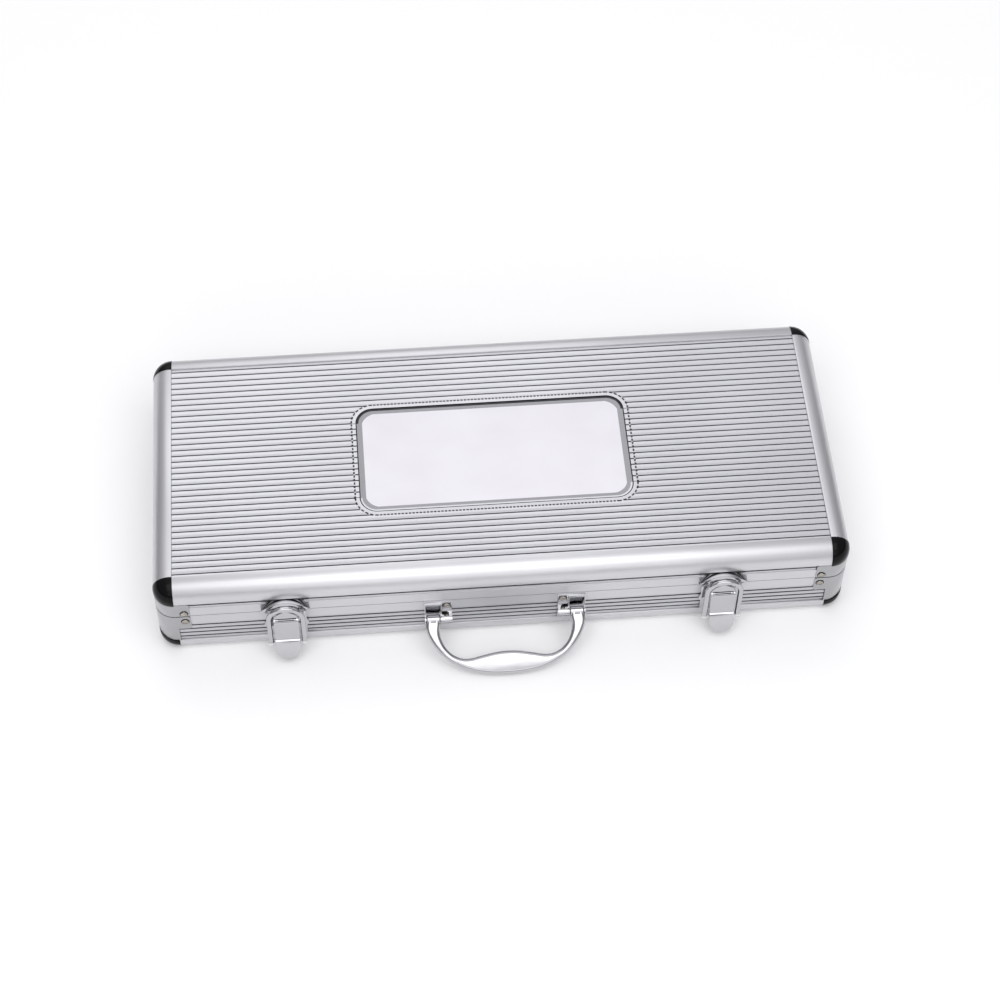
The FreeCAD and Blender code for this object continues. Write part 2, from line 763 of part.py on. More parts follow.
# Hinge ----------------------------------------------------------------------------------------
def hinge_leaf(upward, bore):
    """Strip on the back rims, its knuckles alternating with the other leaf's."""
    pitch = hinge_length / knuckle_count
    direction = 1 if upward else -1
    near = split_height + direction * (knuckle_radius + hinge_clearance)
    far = split_height + direction * hinge_leaf_height
    leaf = block((-hinge_length / 2, hinge_length / 2), (fitting_face, fitting_back),
                 sorted((near, far)))
    pieces = []
    for i in range(1 if upward else 0, knuckle_count, 2):
        start = i * pitch - hinge_length / 2
        span = (start + knuckle_gap / 2, start + pitch - knuckle_gap / 2)
        pieces.append(rod(span, hinge_axis_out, split_height, knuckle_radius))
        pieces.append(block(span, (fitting_face, fitting_back), sorted((split_height, near))))
    leaf = leaf.fuse(pieces)
    leaf = leaf.cut(rod((-half_length, half_length), hinge_axis_out, split_height, bore))
    places = lid_rivet_places() if upward else base_rivet_places()
    return drilled(on_side(leaf.removeSplitter(), "back"), places, ("back",))


def hinge_pin():
    half = hinge_length / 2
    return on_side(rod((-half, half), hinge_axis_out, split_height, hinge_pin_radius), "back")


# Trays and linings ----------------------------------------------------------------------------
def chip_trough(low, high, y, grow):
    """A chip row's room: a half cylinder along X, straight-sided above its axis."""
    radius = chip_radius_room + grow
    start = low - grow
    length = high + grow - start
    barrel = Part.makeCylinder(radius, length, V(start, y, row_centre), X_AXIS)
    return barrel.fuse(block((start, start + length), (y - radius, y + radius),
                             (row_centre, tray_top + chip_radius_room)))


def thin_tray(low, high, rooms, rounded_end=None):
    """A thin-walled tray: rooms(grow) gives its wells, grown by the wall for the hollow below.

    Its corners at the rounded end follow the inside of the case's corners.
    """
    outer = block((low, high), (-tray_half_depth, tray_half_depth), (tray_floor, tray_top))
    if rounded_end is not None:
        uprights = [e for e in edges_along(outer, Z_AXIS) if abs(e.CenterOfMass.x - rounded_end) < fuzz]
        outer = outer.makeFillet(trim_width - wall_depth - tray_clearance, uprights)
    hollow = block((low + tray_wall, high - tray_wall),
                   (tray_wall - tray_half_depth, tray_half_depth - tray_wall),
                   (0.0, tray_top - tray_wall)).cut(rooms(tray_wall))
    return outer.cut(rooms(0.0)).cut(hollow)


def chip_tray(side):
    low = centre_tray_length / 2 + tray_gap
    high = half_length - wall_depth - tray_clearance

    def rooms(grow):
        return [chip_trough(low + row_end_margin, high - row_end_margin,
                            (i + 0.5) * row_pitch - tray_half_depth, grow)
                for i in range(chip_rows)]

    tray = thin_tray(low, high, rooms, high)
    return tray if side > 0 else mirrored(tray)


def centre_tray():
    margin = (2 * tray_half_depth - 2 * card_well_width - dice_well_width) / 4
    card_reach = tray_half_depth - margin - card_well_width / 2

    def well(length, width, y, depth, grow):
        return block((-length / 2 - grow, length / 2 + grow), (y - width / 2 - grow, y + width / 2 + grow),
                     (tray_top - depth - grow, tray_top + depth))

    def rooms(grow):
        return [well(card_well_length, card_well_width, -card_reach, card_well_depth, grow),
                well(card_well_length, card_well_width, card_reach, card_well_depth, grow),
                well(dice_well_length, dice_well_width, 0.0, dice_well_depth, grow)]

    return thin_tray(-centre_tray_length / 2, centre_tray_length / 2, rooms)


def lid_lining():
    inset = trim_width + lining_play
    top = case_height - panel_face - panel_thickness
    return block((inset - half_length, half_length - inset), (inset - half_depth, half_depth - inset),
                 (top - lining_thickness, top))


def base_lining():
    inset = trim_width + lining_play
    low = skin + slot_play + panel_thickness
    return block((inset - half_length, half_length - inset), (inset - half_depth, half_depth - inset),
                 (low, low + sheet_thickness))


# The whole case -------------------------------------------------------------------------------
def build():
    nodes = {
        "lid_top_panel": lid_top_panel(),
        "name_plate": name_plate(),
        "lid_lining": lid_lining(),
        "lid_rivets": rivets(lid_rivet_places()),
        "base_bottom_panel": base_bottom_panel(),
        "base_lining": base_lining(),
        "base_rivets": rivets(base_rivet_places()),
    }
    for side in SIDES:
        nodes["lid_panel_" + side] = lid_panel(side)
        nodes["lid_trim_" + side] = lid_trim(side)
        nodes["lid_rim_" + side] = lid_rim(side)
        nodes["base_panel_" + side] = base_panel(side)
        nodes["base_trim_" + side] = base_trim(side)
        nodes["base_rim_" + side] = base_rim(side)
    lid_cap = to_lid(corner_cap(lid_trim_leg, lid_edge_radius))
    base_cap = corner_cap(base_trim_leg, base_edge_radius)
    for corner in CORNERS:
        nodes["lid_corner_cap_" + corner] = on_corner(lid_cap, corner)
        nodes["base_corner_cap_" + corner] = on_corner(base_cap, corner)
    nodes["lid_corner_plates"] = Part.makeCompound([lid_corner_plate(c) for c in CORNERS])
    nodes["base_corner_plates"] = Part.makeCompound([base_corner_plate(c) for c in CORNERS])
    for name, x in zip(("left", "right"), latch_spots()):
        nodes["latch_plate_" + name] = latch_plate(x)
        nodes["latch_lever_" + name] = latch_lever(x)
        nodes["latch_loop_" + name] = latch_loop(x)
        nodes["latch_keeper_" + name] = latch_keeper(x)
    nodes["latch_axles"] = Part.makeCompound([latch_axle(x) for x in latch_spots()])
    for name, side in (("left", -1), ("right", 1)):
        nodes["handle_bracket_" + name] = handle_bracket(side)
        nodes["chip_tray_" + name] = chip_tray(side)
    nodes["handle_pins"] = Part.makeCompound([handle_pin(side) for side in (-1, 1)])
    nodes["handle"] = handle()
    nodes["centre_tray"] = centre_tray()
    nodes["hinge_base_leaf"] = hinge_leaf(False, hinge_pin_radius)
    nodes["hinge_lid_leaf"] = hinge_leaf(True, hinge_pin_radius + pin_play)
    nodes["hinge_pin"] = hinge_pin()
    return nodes


os.makedirs("parts", exist_ok=True)
for node, shape in build().items():
    if not shape.isValid() or any(solid.Volume <= 0 for solid in shape.Solids):
        raise ValueError(node + " is not a sound solid")
    shape.exportStep("parts/" + node + ".step")
    print(node, len(shape.Solids), round(shape.Volume, 1))
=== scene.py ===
import json
import math

import bmesh
import bpy
from mathutils import Matrix, Vector


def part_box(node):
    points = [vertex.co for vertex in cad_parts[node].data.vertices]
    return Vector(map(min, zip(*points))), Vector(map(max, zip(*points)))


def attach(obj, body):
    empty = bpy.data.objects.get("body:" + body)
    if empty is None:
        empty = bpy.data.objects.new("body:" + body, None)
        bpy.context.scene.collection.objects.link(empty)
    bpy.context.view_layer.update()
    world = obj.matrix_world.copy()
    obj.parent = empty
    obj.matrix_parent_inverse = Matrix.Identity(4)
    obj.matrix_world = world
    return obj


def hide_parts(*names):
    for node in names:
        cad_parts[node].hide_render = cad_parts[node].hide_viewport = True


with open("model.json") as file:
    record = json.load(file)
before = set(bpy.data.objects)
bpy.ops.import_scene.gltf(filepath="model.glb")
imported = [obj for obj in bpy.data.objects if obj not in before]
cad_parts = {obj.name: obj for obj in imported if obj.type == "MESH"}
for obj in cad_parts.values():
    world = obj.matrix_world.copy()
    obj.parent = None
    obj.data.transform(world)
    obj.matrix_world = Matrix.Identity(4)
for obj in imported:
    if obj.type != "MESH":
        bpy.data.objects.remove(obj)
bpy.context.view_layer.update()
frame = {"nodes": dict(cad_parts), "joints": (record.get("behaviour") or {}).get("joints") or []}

# Edge extrusions ------------------------------------------------------------------------------
# Eight drawn aluminium lengths, satin anodised, frame the lid and the base. Each is a quarter-round
# shell with an angle inside it. The panels slide in between the two, and black caps close its ends.
mm = 0.001
trim_wall = 1.2 * mm
panel_slot = 3.1 * mm
lip_round = 0.25 * mm
edge_round = {"lid": 12.5 * mm, "base": 8 * mm}
edge_steps = 14
outward = {"front": Vector((0, -1, 0)), "back": Vector((0, 1, 0)),
           "left": Vector((-1, 0, 0)), "right": Vector((1, 0, 0))}
away = {"lid": Vector((0, 0, 1)), "base": Vector((0, 0, -1))}
satin_silver = (0.65, 0.65, 0.665)
facing = 0.9                 # a normal with this much of a direction faces it
noise_span = (0.3, 0.7)      # nearly all of a noise's values lie between these


def open_block(low, high):
    """Adds a block between two corners and opens it in edit mode."""
    bpy.ops.object.select_all(action="DESELECT")
    bpy.ops.mesh.primitive_cube_add(size=1, location=(low + high) / 2)
    bpy.context.object.scale = high - low
    bpy.ops.object.transform_apply()
    bpy.ops.object.mode_set(mode="EDIT")
    return bpy.context.object


def pick(kind, test):
    """Selects, in edit mode, the verts, edges or faces that pass a test of (part, its middle)."""
    bpy.ops.mesh.select_mode(type=kind)
    bpy.ops.mesh.select_all(action="DESELECT")
    mesh = bmesh.from_edit_mesh(bpy.context.object.data)
    for part in {"VERT": mesh.verts, "EDGE": mesh.edges, "FACE": mesh.faces}[kind]:
        corners = [part] if kind == "VERT" else part.verts
        middle = sum((corner.co for corner in corners), Vector()) / len(corners)
        if test(part, middle):
            part.select_set(True)
    mesh.select_flush_mode()
    bmesh.update_edit_mesh(bpy.context.object.data)


def close():
    """Leaves edit mode."""
    bpy.ops.object.mode_set(mode="OBJECT")


def modify(kind, **settings):
    """Puts a modifier on the piece in hand and applies it."""
    modifier = bpy.context.object.modifiers.new(kind.title(), kind)
    for setting, value in settings.items():
        setattr(modifier, setting, value)
    bpy.ops.object.modifier_apply(modifier=modifier.name)


def soften(width, steps=2, above=40):
    """Rounds the piece's edges that turn by more than an angle in degrees."""
    modify("BEVEL", width=width, segments=steps, limit_method="ANGLE", angle_limit=math.radians(above),
           use_clamp_overlap=True)


def join(pieces):
    """Makes one mesh of several, named as the first."""
    bpy.ops.object.select_all(action="DESELECT")
    for piece in pieces:
        piece.select_set(True)
    bpy.context.view_layer.objects.active = pieces[0]
    bpy.ops.object.join()
    return bpy.context.object


def put_on(name, finishes, body, slot, *nodes, smooth=32):
    """Names the piece in hand, smooths and finishes it, and lets it stand for its CAD nodes."""
    piece = bpy.context.object
    piece.name = name
    piece.data.name = name
    bpy.ops.object.shade_smooth_by_angle(angle=math.radians(smooth))
    for finish in finishes:
        if piece.data.materials.find(finish.name) < 0:
            piece.data.materials.append(finish)
    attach(piece, body)
    if nodes:
        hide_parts(*nodes)
    return piece


def new_finish(name, colour, metal, roughness):
    """A finish whose even values sit on the shader's own sockets."""
    finish = bpy.data.materials.new(name)
    finish.use_nodes = True
    sockets = finish.node_tree.nodes["Principled BSDF"].inputs
    sockets["Base Color"].default_value = (*colour, 1)
    sockets["Metallic"].default_value = metal
    sockets["Roughness"].default_value = roughness
    return finish


def grain(finish, spread, detail=3):
    """Noise over Object coordinates: spread is how many cells it has to a metre along X, Y and Z."""
    tree = finish.node_tree
    place = tree.nodes.new("ShaderNodeTexCoord")
    stretch = tree.nodes.new("ShaderNodeMapping")
    stretch.inputs["Scale"].default_value = spread
    noise = tree.nodes.new("ShaderNodeTexNoise")
    noise.inputs["Scale"].default_value = 1
    noise.inputs["Detail"].default_value = detail
    tree.links.new(place.outputs["Object"], stretch.inputs["Vector"])
    tree.links.new(stretch.outputs["Vector"], noise.inputs["Vector"])
    return noise.outputs["Fac"]


def vary(finish, socket, factor, low, high):
    """Runs one of the shader's sockets between two colours or numbers over a factor."""
    tree = finish.node_tree
    target = tree.nodes["Principled BSDF"].inputs[socket]
    if isinstance(low, tuple):
        ramp = tree.nodes.new("ShaderNodeValToRGB")
        ramp.color_ramp.elements[0].position = noise_span[0]
        ramp.color_ramp.elements[0].color = (*low, 1)
        ramp.color_ramp.elements[1].position = noise_span[1]
        ramp.color_ramp.elements[1].color = (*high, 1)
        tree.links.new(factor, ramp.inputs["Fac"])
        tree.links.new(ramp.outputs["Color"], target)
    else:
        span = tree.nodes.new("ShaderNodeMapRange")
        span.inputs["From Min"].default_value = noise_span[0]
        span.inputs["From Max"].default_value = noise_span[1]
        span.inputs["To Min"].default_value = low
        span.inputs["To Max"].default_value = high
        tree.links.new(factor, span.inputs["Value"])
        tree.links.new(span.outputs["Result"], target)


def dent(finish, height, depth, strength=1.0):
    """Bumps the surface by a height that is depth metres at most."""
    tree = finish.node_tree
    bump = tree.nodes.new("ShaderNodeBump")
    bump.inputs["Distance"].default_value = depth
    bump.inputs["Strength"].default_value = strength
    tree.links.new(height, bump.inputs["Height"])
    tree.links.new(bump.outputs["Normal"], tree.nodes["Principled BSDF"].inputs["Normal"])


def satin(name, drawn_along):
    """Satin anodised aluminium with the fine lines of its drawing die along one axis."""
    finish = new_finish(name, satin_silver, 1.0, 0.42)
    lines = grain(finish, tuple(9 if axis == drawn_along else 2600 for axis in range(3)))
    clouds = grain(finish, (14, 14, 14), detail=2)
    vary(finish, "Base Color", clouds, (0.63, 0.63, 0.645), (0.67, 0.67, 0.685))
    vary(finish, "Roughness", lines, 0.38, 0.48)
    dent(finish, lines, 0.006 * mm, 0.5)
    return finish


satin_along = {"front": satin("satin_extrusion_x", 0), "left": satin("satin_extrusion_y", 1)}
satin_along["back"] = satin_along["front"]
satin_along["right"] = satin_along["left"]


def stepped_in(low, high, faces, depth):
    """A box whose faces towards some directions are moved in."""
    shift = sum(faces, Vector()) * depth
    low = low - Vector([min(step, 0) for step in shift])
    high = high - Vector([max(step, 0) for step in shift])
    return low, high


def bent_strip(low, high, faces, rounding):
    """A sheet bent along the edge between two faces of a box, trim_wall thick."""
    strip = open_block(low, high)
    pick("FACE", lambda face, middle: max(face.normal.dot(way) for way in faces) < facing)
    bpy.ops.mesh.delete(type="FACE")
    if rounding:
        pick("EDGE", lambda edge, middle: len(edge.link_faces) == 2)
        bpy.ops.mesh.bevel(offset=rounding, segments=edge_steps, affect="EDGES")
    close()
    modify("SOLIDIFY", thickness=trim_wall, offset=-1)
    soften(lip_round)
    return strip


for part, crown in away.items():
    for side, out in outward.items():
        node = f"{part}_trim_{side}"
        low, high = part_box(node)
        shell = bent_strip(low, high, (out, crown), edge_round[part])
        inner_low, inner_high = stepped_in(low, high, (out, crown), trim_wall + panel_slot)
        angle = bent_strip(inner_low, inner_high, (out, crown), 0)
        join([shell, angle])
        put_on(f"{part}_extrusion_{side}", [satin_along[side]], part, "satin_extrusion", node)

# Corner caps ----------------------------------------------------------------------------------
# Black moulded caps, glossy ABS, close the gap where three extrusions meet. Each is a quarter of a
# dome with the extrusions' rounding, pressed on over their ends, so it stands a hair proud of them.
cap_proud = 0.22 * mm
cap_wall = 1.4 * mm
cap_skirt = 0.9 * mm         # the lid caps reach down over their plates
cap_sides = 96
fuzz = 1e-6                  # places closer than this are the same
corner_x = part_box("lid_trim_front")[1].x
corner_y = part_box("lid_trim_right")[1].y
cap_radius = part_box("lid_trim_right")[1].x - corner_x + cap_proud
corners = {"front_left": (-1, -1), "front_right": (1, -1), "back_left": (-1, 1), "back_right": (1, 1)}

black_gloss = new_finish("black_gloss_abs", (0.004, 0.004, 0.0045), 0.0, 0.14)
black_gloss.node_tree.nodes["Principled BSDF"].inputs["Specular IOR Level"].default_value = 0.12
cap_skin = grain(black_gloss, (900, 900, 900), detail=2)
vary(black_gloss, "Roughness", grain(black_gloss, (60, 60, 60)), 0.09, 0.2)
dent(black_gloss, cap_skin, 0.01 * mm, 0.5)

for part, crown in away.items():
    for corner, (across, along) in corners.items():
        node = f"{part}_corner_cap_{corner}"
        low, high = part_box(node)
        axis = Vector((across * corner_x, along * corner_y, 0))
        rim_height = high.z + cap_proud if part == "lid" else low.z
        foot = low.z - cap_skirt if part == "lid" else high.z
        bpy.ops.object.select_all(action="DESELECT")
        bpy.ops.mesh.primitive_cylinder_add(
            vertices=cap_sides, radius=cap_radius, depth=abs(rim_height - foot),
            location=axis + Vector((0, 0, (rim_height + foot) / 2)))
        bpy.ops.object.transform_apply()
        bpy.ops.object.mode_set(mode="EDIT")
        pick("FACE", lambda face, middle: face.normal.dot(crown) < -facing)
        bpy.ops.mesh.delete(type="FACE")
        pick("EDGE", lambda edge, middle: all(abs(v.co.z - rim_height) < fuzz for v in edge.verts))
        bpy.ops.mesh.bevel(offset=edge_round[part] + cap_proud, segments=edge_steps, affect="EDGES")
        pick("FACE", lambda face, middle: len(face.verts) > 4)
        bpy.ops.mesh.poke()
        for cut in ((across, 0, 0), (0, along, 0)):
            bpy.ops.mesh.select_all(action="SELECT")
            bpy.ops.mesh.bisect(plane_co=axis, plane_no=cut, clear_inner=True)
        close()
        modify("SOLIDIFY", thickness=cap_wall, offset=-1)
        soften(lip_round, above=60)
        put_on(f"{part}_cap_{corner}", [black_gloss], part, "black_plastic", node)

# Ribbed top sheet -----------------------------------------------------------------------------
# The lid's face is a thin aluminium sheet rolled into shallow ribs that run the case's full length.
# A press sinks a rounded window into its middle: it flattens the ribs round it and leaves a crease.
rib_pitch = 5 * mm
groove_half = 0.45 * mm
groove_sink = 0.42 * mm
crown_drop = 0.17 * mm
crown_rows = 8
sheet_cover = 0.6 * mm       # under the trims' lips on every side
crease_length = 99.3 * mm    # half sizes of the crease round the window
crease_width = 48.5 * mm
crease_radius = 16 * mm
crease_steps = 20
cut_over = 5 * mm            # the window's cutter stands this far out of the sheet
least_upright = 0.1 * mm
sheet_low, sheet_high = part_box("lid_top_panel")
seen_x = corner_x + sheet_cover
seen_y = corner_y + sheet_cover

rib_silver = new_finish("ribbed_sheet", (0.56, 0.56, 0.58), 1.0, 0.3)
rib_speckle = grain(rib_silver, (700, 2200, 2200), detail=4)
vary(rib_silver, "Base Color", grain(rib_silver, (10, 10, 10)), (0.54, 0.54, 0.56), (0.59, 0.59, 0.61))
vary(rib_silver, "Roughness", rib_speckle, 0.26, 0.38)
dent(rib_silver, rib_speckle, 0.012 * mm, 0.6)

bezel_grey = new_finish("bezel_grey", (0.34, 0.34, 0.355), 0.6, 0.45)
bezel_grain = grain(bezel_grey, (900, 900, 900))
vary(bezel_grey, "Base Color", bezel_grain, (0.31, 0.31, 0.325), (0.37, 0.37, 0.385))
vary(bezel_grey, "Roughness", bezel_grain, 0.4, 0.52)

# Painted shade: a near-black finish for grooves, gaps, cut edges and inner faces where shade falls, its tone
# mottled
groove_shade = new_finish("groove_shade", (0.035, 0.035, 0.037), 0.6, 0.55)
groove_shade_mottle = grain(groove_shade, (120, 900, 900))
vary(groove_shade, "Base Color", groove_shade_mottle, (0.018, 0.018, 0.02), (0.06, 0.06, 0.063))
vary(groove_shade, "Roughness", groove_shade_mottle, 0.42, 0.6)


def paint(index):
    """Gives the picked faces the piece's finish of that number."""
    mesh = bmesh.from_edit_mesh(bpy.context.object.data)
    for face in mesh.faces:
        if face.select:
            face.material_index = index
    bmesh.update_edit_mesh(bpy.context.object.data)


def carry(piece, *finishes):
    """Gives a piece its finishes before it is cut, so that painted faces keep their numbers."""
    for finish in finishes:
        piece.data.materials.append(finish)


def pick_uprights():
    """Selects a block's upright edges."""
    pick("EDGE", lambda edge, middle: abs(edge.verts[0].co.z - edge.verts[1].co.z) > least_upright)


def extrude(move):
    """Extrudes what is picked by a vector."""
    bpy.ops.mesh.extrude_region_move(TRANSFORM_OT_translate={"value": move})


rib_count = 2 * math.ceil((seen_y - rib_pitch / 2) / rib_pitch) + 1
first_rib = -(rib_count - 1) / 2 * rib_pitch
crown_half = rib_pitch / 2 - groove_half
bpy.ops.object.select_all(action="DESELECT")
bpy.ops.mesh.primitive_grid_add(x_subdivisions=1, y_subdivisions=crown_rows, size=1,
                                location=(0, first_rib, sheet_high.z))
sheet = bpy.context.object
carry(sheet, rib_silver, groove_shade, bezel_grey)
sheet.scale = (2 * seen_x, 2 * crown_half, 1)
bpy.ops.object.transform_apply()
bpy.ops.object.mode_set(mode="EDIT")
for row in range(1, crown_rows // 2 + 1):
    reach = 2 * row / crown_rows
    pick("VERT", lambda vert, middle: abs(abs(middle.y - first_rib) - reach * crown_half) < fuzz)
    bpy.ops.transform.translate(value=(0, 0, -crown_drop * reach ** 2))
for way in (-1, 1):
    pick("EDGE", lambda edge, middle: abs(middle.y - first_rib - way * crown_half) < fuzz)
    extrude((0, way * groove_half, -groove_sink))
# The grooves' faces get painted shade.
pick("FACE", lambda face, middle: abs(middle.y - first_rib) > crown_half)
paint(1)
close()
modify("ARRAY", count=rib_count, use_relative_offset=False, use_constant_offset=True,
       constant_offset_displace=(0, rib_pitch, 0), use_merge_vertices=True, merge_threshold=1e-5)
bpy.ops.object.mode_set(mode="EDIT")
for way in (-1, 1):
    bpy.ops.mesh.select_all(action="SELECT")
    bpy.ops.mesh.bisect(plane_co=(0, way * seen_y, 0), plane_no=(0, way, 0), clear_outer=True)
bpy.ops.mesh.select_all(action="SELECT")
extrude((0, 0, sheet_low.z - sheet_high.z))
pick("VERT", lambda vert, middle: middle.z < (sheet_low.z + sheet_high.z) / 2)
bpy.ops.transform.resize(value=(1, 1, 0), center_override=(0, 0, sheet_low.z))
bpy.ops.mesh.select_all(action="SELECT")
bpy.ops.mesh.normals_make_consistent(inside=False)
close()

window_cut = open_block(Vector((-crease_length, -crease_width, sheet_low.z - cut_over)),
                        Vector((crease_length, crease_width, sheet_high.z + cut_over)))
pick_uprights()
bpy.ops.mesh.bevel(offset=crease_radius, segments=crease_steps, affect="EDGES")
close()
bpy.ops.object.select_all(action="DESELECT")
sheet.select_set(True)
bpy.context.view_layer.objects.active = sheet
modify("BOOLEAN", object=window_cut, operation="DIFFERENCE", solver="EXACT")
bpy.data.objects.remove(window_cut)

# The pressed border of the window: a stitched-looking crease of sunk dashes, a flat band crossed by the
# ribs' grooves, a gap, and a grey bezel that slopes down to the blank plate. The dashes, the ticks, the gap
# and the bezel's back are painted shade; the bezel's front is painted light.
dash_width = 1.1 * mm
dash_sink = 0.35 * mm
dash_cuts = 99                # along a long side, then halved
short_cuts = 64               # along a short side, then halved: a line falls on every groove
dashes_short = 2              # faces to a dash there
dash_every, dash_dark = 3, 2  # so many in every so many are dark
tick_half = 0.55 * mm
border_steps = ((2.4, 0.0), (0.05, -1.1), (0.65, 0.0), (0.05, 0.8), (1.3, -0.16), (1.7, -0.22), (3.0, -0.12))
border_gauge = 0.4 * mm
border_top = sheet_high.z - crown_drop / 2
straight_x = crease_length - crease_radius
straight_y = crease_width - crease_radius
long_pitch = straight_x / (dash_cuts + 1)
short_pitch = straight_y / (short_cuts + 1)


def depth_in(middle):
    """How far a point lies inside the crease's outer edge."""
    x, y = abs(middle.x) - straight_x, abs(middle.y) - straight_y
    return crease_radius - (math.hypot(x, y) if x > 0 and y > 0 else max(x, y))


def is_dash(middle):
    """Whether a point of the crease is on a dash."""
    x, y = abs(middle.x) - straight_x, abs(middle.y) - straight_y
    if x > 0 and y > 0:
        return int(math.atan2(y, x) / (math.pi / 2 / crease_steps)) % dash_every < dash_dark
    if x <= 0:
        return math.floor(middle.x / long_pitch) % dash_every < dash_dark
    return math.floor(middle.y / (dashes_short * short_pitch)) % dash_every < dash_dark


def is_tick(middle):
    """Whether a point of the band is where a groove of the ribs runs across it."""
    off_groove = abs((middle.y / rib_pitch) % 1 - 0.5) * rib_pitch
    return abs(middle.y) < straight_y and abs(middle.x) > straight_x and off_groove < tick_half


bpy.ops.object.select_all(action="DESELECT")
bpy.ops.mesh.primitive_plane_add(size=2, location=(0, 0, border_top))
border = bpy.context.object
carry(border, rib_silver, groove_shade, bezel_grey)
border.scale = (crease_length, crease_width, 1)
bpy.ops.object.transform_apply()
bpy.ops.object.mode_set(mode="EDIT")
bpy.ops.mesh.select_all(action="SELECT")
bpy.ops.mesh.bevel(offset=crease_radius, segments=crease_steps, affect="VERTICES")
pick("EDGE", lambda edge, middle: edge.calc_length() > crease_radius and abs(middle.x) < mm)
bpy.ops.mesh.subdivide(number_cuts=dash_cuts)
bpy.ops.mesh.subdivide(number_cuts=1)
pick("EDGE", lambda edge, middle: edge.calc_length() > crease_radius and abs(middle.y) < mm)
bpy.ops.mesh.subdivide(number_cuts=short_cuts)
bpy.ops.mesh.subdivide(number_cuts=1)
bpy.ops.mesh.select_mode(type="FACE")
bpy.ops.mesh.select_all(action="SELECT")
bpy.ops.mesh.dissolve_faces(use_verts=False)
bpy.ops.mesh.inset(thickness=dash_width)
for thickness, rise in border_steps:
    bpy.ops.mesh.inset(thickness=thickness * mm, depth=rise * mm)
bpy.ops.mesh.delete(type="FACE")
band_end = dash_width + border_steps[0][0] * mm
gap_end = band_end + sum(step[0] for step in border_steps[1:4]) * mm
# Painted shade on the ticks where the ribs' grooves cross the band, and on the gap.
pick("FACE", lambda face, middle: dash_width < depth_in(middle) < band_end and is_tick(middle))
paint(1)
pick("FACE", lambda face, middle: band_end < depth_in(middle) < gap_end)
paint(1)
pick("FACE", lambda face, middle: depth_in(middle) > gap_end)
paint(2)
# Painted shade on the bezel's outer slope at the back, painted light (the sheet's bright finish) at the
# front.
shade_end = gap_end + border_steps[4][0] * mm
pick("FACE", lambda face, middle: gap_end < depth_in(middle) < shade_end and middle.y > straight_y)
paint(1)
pick("FACE", lambda face, middle: gap_end < depth_in(middle) < shade_end and middle.y < -straight_y)
paint(0)
# The dashes are sunk, and their faces get painted shade.
pick("FACE", lambda face, middle: depth_in(middle) < dash_width and is_dash(middle))
extrude((0, 0, -dash_sink))
pick("FACE", lambda face, middle: middle.z < border_top - dash_sink / 4
     and depth_in(middle) < dash_width + 0.01 * mm)
paint(1)
close()
modify("SOLIDIFY", thickness=border_gauge, offset=-1)
join([sheet, border])
put_on("lid_top_sheet", [rib_silver], "lid", "ribbed_panel", "lid_top_panel", smooth=24)

# Blank plate ----------------------------------------------------------------------------------
# A blank satin plate, stamped from white-lacquered sheet, is glued to the window's floor. Its corners
# follow the window, and its top edge is rolled over. It carries no mark of any kind.
plate_radius = 13.4 * mm
plate_margin = 0.6 * mm      # inside the node's edge
plate_roll = 0.35 * mm
plate_white = new_finish("plate_lacquer", (0.80, 0.775, 0.82), 0.0, 0.38)
plate_clouds = grain(plate_white, (22, 30, 30), detail=2)
vary(plate_white, "Base Color", plate_clouds, (0.775, 0.75, 0.795), (0.82, 0.80, 0.84))
vary(plate_white, "Roughness", grain(plate_white, (400, 400, 400)), 0.3, 0.42)
dent(plate_white, grain(plate_white, (1500, 1500, 1500)), 0.006 * mm, 0.4)

plate_low, plate_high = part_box("name_plate")
margin = Vector((plate_margin, plate_margin, 0))
open_block(plate_low + margin, plate_high - margin)
pick_uprights()
bpy.ops.mesh.bevel(offset=plate_radius, segments=12, affect="EDGES")
close()
soften(plate_roll, steps=3)
put_on("blank_plate", [plate_white], "lid", "blank_plate", "name_plate")

# Side panels ----------------------------------------------------------------------------------
# The four walls of lid and base are the same ribbed sheet on thin board, cut to strips: four grooves
# on the base and one on the lid. They keep the frame's holes for the rivets, so they are its copies.
merge_gap = 0.002 * mm
flat_angle = math.radians(0.5)


def copied(node):
    """A copy of a CAD node's mesh, its doubles merged and its flat faces made whole."""
    bpy.ops.object.select_all(action="DESELECT")
    piece = bpy.data.objects.new(node, frame["nodes"][node].data.copy())
    bpy.context.scene.collection.objects.link(piece)
    piece.data.materials.clear()
    piece.select_set(True)
    bpy.context.view_layer.objects.active = piece
    bpy.ops.mesh.customdata_custom_splitnormals_clear()
    bpy.ops.object.mode_set(mode="EDIT")
    bpy.ops.mesh.select_all(action="SELECT")
    bpy.ops.mesh.remove_doubles(threshold=merge_gap)
    bpy.ops.mesh.dissolve_limited(angle_limit=flat_angle)
    return piece


def score(heights):
    """Cuts level edges round the whole piece at some heights."""
    for height in heights:
        bpy.ops.mesh.select_all(action="SELECT")
        bpy.ops.mesh.bisect(plane_co=(0, 0, height), plane_no=(0, 0, 1))


groove_heights = {"lid": (52.85,), "base": (14.9, 19.4, 23.9, 28.4)}   # in mm
shade_half = 0.7 * mm
lip_shade = 1.1 * mm         # painted shade of the slot, below the lid trims' lips
slot_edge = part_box("lid_trim_front")[0].z - lip_shade

